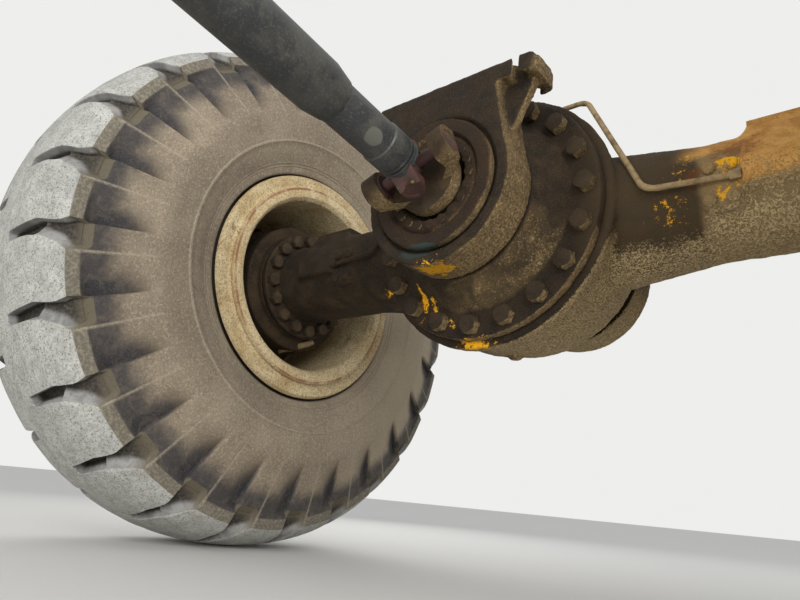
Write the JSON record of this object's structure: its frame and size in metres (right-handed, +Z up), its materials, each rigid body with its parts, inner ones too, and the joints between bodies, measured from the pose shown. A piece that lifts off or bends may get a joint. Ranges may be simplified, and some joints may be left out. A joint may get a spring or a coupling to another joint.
{
  "type": "rear drive axle assembly of a wheel loader",
  "caption": "Oscillating drive axle with trunnion supports, planetary wheel ends, large lugged tyres on split rims, and a drive shaft with universal joints.",
  "frame": {"origin": "middle of the front trunnion support's bolting face, on top of its pad", "axes": "X along the axle to the right, Y to the rear of the machine, Z up out of the bolting faces into the frame"},
  "size_m": [2.936, 2.3908, 1.7698],
  "materials": {
    "axle_casting": "cast iron under dark oil and dust, with scraps of old yellow paint",
    "support_casting": "rough casting, dusty, worn yellow paint on its lower edge",
    "bushing_bronze": "dull bearing bronze with grease",
    "bolt_steel": "dirty forged steel",
    "pipe_steel": "dusty pale coating",
    "joint_steel": "red-brown primer, rust and grease",
    "shaft_paint": "satin black paint under thin dust",
    "rim_paint": "old cream paint under caked dust",
    "tyre": "worn dusty rubber"
  },
  "bodies": {
    "supports": {"front_bushing": "bushing_bronze", "front_support": "support_casting", "rear_bushing": "bushing_bronze", "rear_support": "support_casting"},
    "axle": {"axle_housing": "axle_casting", "brake_tee": "pipe_steel", "carrier_bolts": "bolt_steel", "differential_carrier": "axle_casting", "front_retainer": "axle_casting", "left_arm_bolts": "bolt_steel", "left_brake_housing": "axle_casting", "left_brake_pipe": "pipe_steel", "left_stop_pad": "axle_casting", "rear_retainer": "axle_casting", "rear_retainer_bolts": "bolt_steel", "rear_trunnion": "axle_casting", "rear_trunnion_bolts": "bolt_steel", "retainer_bolts": "bolt_steel", "right_arm_bolts": "bolt_steel", "right_brake_housing": "axle_casting", "right_brake_pipe": "pipe_steel", "right_stop_pad": "axle_casting"},
    "pinion": {"near_cross": "joint_steel", "pinion_yoke": "axle_casting"},
    "shaft": {"far_cross_pins": "joint_steel", "near_cross_pins": "joint_steel", "shaft_tube": "shaft_paint", "slip_sleeve": "shaft_paint", "slip_yoke": "joint_steel", "tube_yoke": "joint_steel"},
    "flange": {"far_cross": "joint_steel", "flange_yoke": "axle_casting"},
    "right_wheel": {"right_bead_seat_band": "rim_paint", "right_cover_bolts": "bolt_steel", "right_final_drive_hub": "axle_casting", "right_hub_cover": "axle_casting", "right_lock_ring": "rim_paint", "right_rim_base": "rim_paint", "right_rim_inner_flange": "rim_paint", "right_rim_outer_flange": "rim_paint", "right_tyre": "tyre", "right_tyre_valve": "tyre", "right_wheel_nuts": "bolt_steel"},
    "left_wheel": {"left_bead_seat_band": "rim_paint", "left_cover_bolts": "bolt_steel", "left_final_drive_hub": "axle_casting", "left_hub_cover": "axle_casting", "left_lock_ring": "rim_paint", "left_rim_base": "rim_paint", "left_rim_inner_flange": "rim_paint", "left_rim_outer_flange": "rim_paint", "left_tyre": "tyre", "left_tyre_valve": "tyre", "left_wheel_nuts": "bolt_steel"}
  },
  "joints": [
    {"name": "axle_swing", "type": "hinge", "parent": "supports", "child": "axle", "pos_m": [0, 0.34, -0.26], "axis": [0, 1, 0], "range_deg": [-13, 13]},
    {"name": "shaft_turn", "type": "hinge", "parent": "supports", "child": "shaft", "pos_m": [0, -0.135, -0.26], "axis": [0, 0.9903, -0.1392], "continuous": true},
    {"name": "pinion_turn", "type": "hinge", "parent": "axle", "child": "pinion", "pos_m": [0, -0.135, -0.26], "axis": [0, 1, 0], "continuous": true},
    {"name": "flange_turn", "type": "hinge", "parent": "supports", "child": "flange", "pos_m": [0, -1.06585, -0.12918], "axis": [0, 1, 0], "continuous": true},
    {"name": "right_wheel_turn", "type": "hinge", "parent": "axle", "child": "right_wheel", "pos_m": [1.125, 0.34, -0.26], "axis": [1, 0, 0], "continuous": true},
    {"name": "left_wheel_turn", "type": "hinge", "parent": "axle", "child": "left_wheel", "pos_m": [-1.125, 0.34, -0.26], "axis": [1, 0, 0], "continuous": true}
  ],
  "couplings": [
    {"joint": "pinion_turn", "follows": "shaft_turn", "ratio": 1},
    {"joint": "flange_turn", "follows": "shaft_turn", "ratio": 1}
  ]
}
